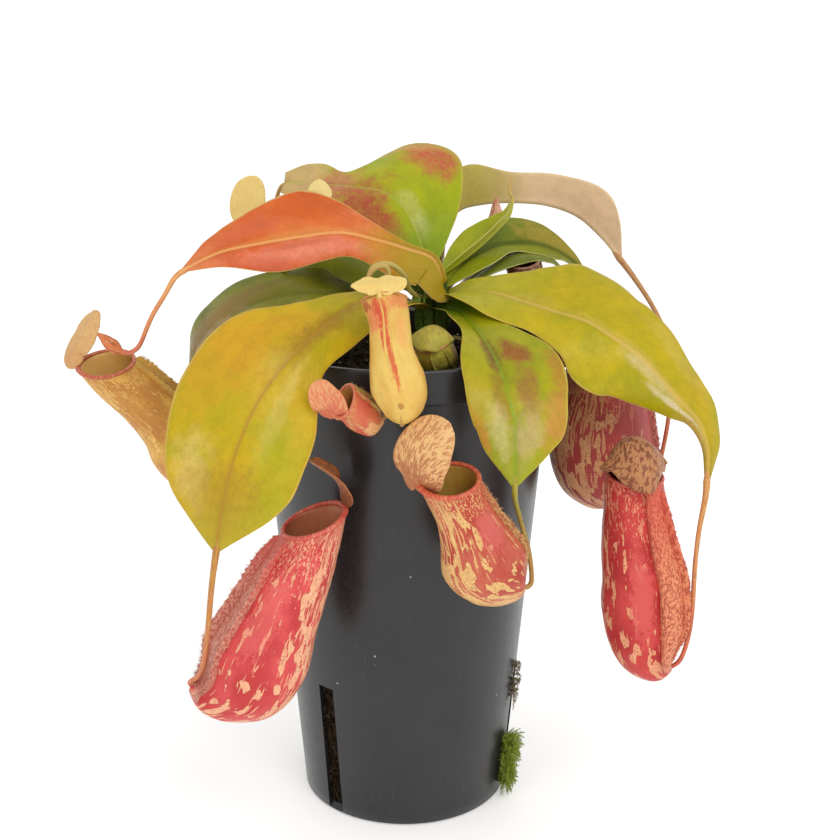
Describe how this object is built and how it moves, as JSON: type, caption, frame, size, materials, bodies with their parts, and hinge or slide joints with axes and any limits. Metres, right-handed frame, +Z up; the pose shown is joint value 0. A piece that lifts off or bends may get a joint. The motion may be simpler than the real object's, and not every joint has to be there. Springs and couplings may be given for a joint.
{
  "type": "potted pitcher plant",
  "caption": "Tropical pitcher plant in a tall tapered nursery pot: a rosette of arching leaves whose tendrils carry hanging lidded pitchers",
  "frame": {"origin": "centre of the underside of the pot, on the surface it stands on", "axes": "+Z up along the pot's axis; -Y towards the viewer who sees the tall slot at lower left; +X to that viewer's right"},
  "size_m": [0.273, 0.1759, 0.2845],
  "materials": {
    "pot": "satin",
    "soil": "matte",
    "stem": "matte",
    "moss_tuft": "matte",
    "moss_strip": "matte",
    "leaf_front_left": "satin",
    "leaf_red_left": "satin",
    "leaf_dark_left": "satin",
    "leaf_top": "satin",
    "leaf_back_right": "satin",
    "leaf_right": "satin",
    "leaf_front": "satin",
    "leaf_channelled": "satin",
    "leaf_youngest": "satin",
    "leaf_lower_right": "satin",
    "leaf_inner_left": "satin",
    "pitcher_front_left": "satin",
    "lid_front_left": "matte",
    "pitcher_left": "satin",
    "lid_left": "matte",
    "pitcher_right": "satin",
    "lid_right": "matte",
    "pitcher_front": "satin",
    "lid_front": "matte",
    "pitcher_pale": "satin",
    "lid_pale": "matte",
    "pitcher_small_pink": "satin",
    "lid_small_pink": "matte",
    "pitcher_rim": "satin",
    "lid_rim": "matte",
    "pitcher_right_rear": "satin",
    "lid_right_rear": "matte",
    "pitcher_back_left": "satin",
    "lid_back_left": "matte",
    "pitcher_inner_left": "satin",
    "lid_inner_left": "matte",
    "pitcher_brown": "satin",
    "tendril_front_left": "matte",
    "tendril_red_left": "matte",
    "tendril_dark_left": "matte",
    "tendril_top": "matte",
    "tendril_back_right": "matte",
    "tendril_right": "matte",
    "tendril_front": "matte",
    "tendril_youngest": "matte",
    "tendril_channelled": "matte",
    "tendril_pale": "matte",
    "tendril_small_pink": "matte",
    "tendril_rim": "matte",
    "tendril_inner_left": "matte",
    "tendril_brown": "matte",
    "tendril_dried": "matte",
    "withered_bud": "matte",
    "dried_bud": "matte"
  },
  "bodies": {
    "root": {"pot": "pot", "soil": "soil", "stem": "stem", "moss_tuft": "moss_tuft", "moss_strip": "moss_strip", "leaf_front_left": "leaf_front_left", "leaf_red_left": "leaf_red_left", "leaf_dark_left": "leaf_dark_left", "leaf_top": "leaf_top", "leaf_back_right": "leaf_back_right", "leaf_right": "leaf_right", "leaf_front": "leaf_front", "leaf_channelled": "leaf_channelled", "leaf_youngest": "leaf_youngest", "leaf_lower_right": "leaf_lower_right", "leaf_inner_left": "leaf_inner_left", "pitcher_front_left": "pitcher_front_left", "lid_front_left": "lid_front_left", "pitcher_left": "pitcher_left", "lid_left": "lid_left", "pitcher_right": "pitcher_right", "lid_right": "lid_right", "pitcher_front": "pitcher_front", "lid_front": "lid_front", "pitcher_pale": "pitcher_pale", "lid_pale": "lid_pale", "pitcher_small_pink": "pitcher_small_pink", "lid_small_pink": "lid_small_pink", "pitcher_rim": "pitcher_rim", "lid_rim": "lid_rim", "pitcher_right_rear": "pitcher_right_rear", "lid_right_rear": "lid_right_rear", "pitcher_back_left": "pitcher_back_left", "lid_back_left": "lid_back_left", "pitcher_inner_left": "pitcher_inner_left", "lid_inner_left": "lid_inner_left", "pitcher_brown": "pitcher_brown", "tendril_front_left": "tendril_front_left", "tendril_red_left": "tendril_red_left", "tendril_dark_left": "tendril_dark_left", "tendril_top": "tendril_top", "tendril_back_right": "tendril_back_right", "tendril_right": "tendril_right", "tendril_front": "tendril_front", "tendril_youngest": "tendril_youngest", "tendril_channelled": "tendril_channelled", "tendril_pale": "tendril_pale", "tendril_small_pink": "tendril_small_pink", "tendril_rim": "tendril_rim", "tendril_inner_left": "tendril_inner_left", "tendril_brown": "tendril_brown", "tendril_dried": "tendril_dried", "withered_bud": "withered_bud", "dried_bud": "dried_bud"}
  },
  "joints": []
}
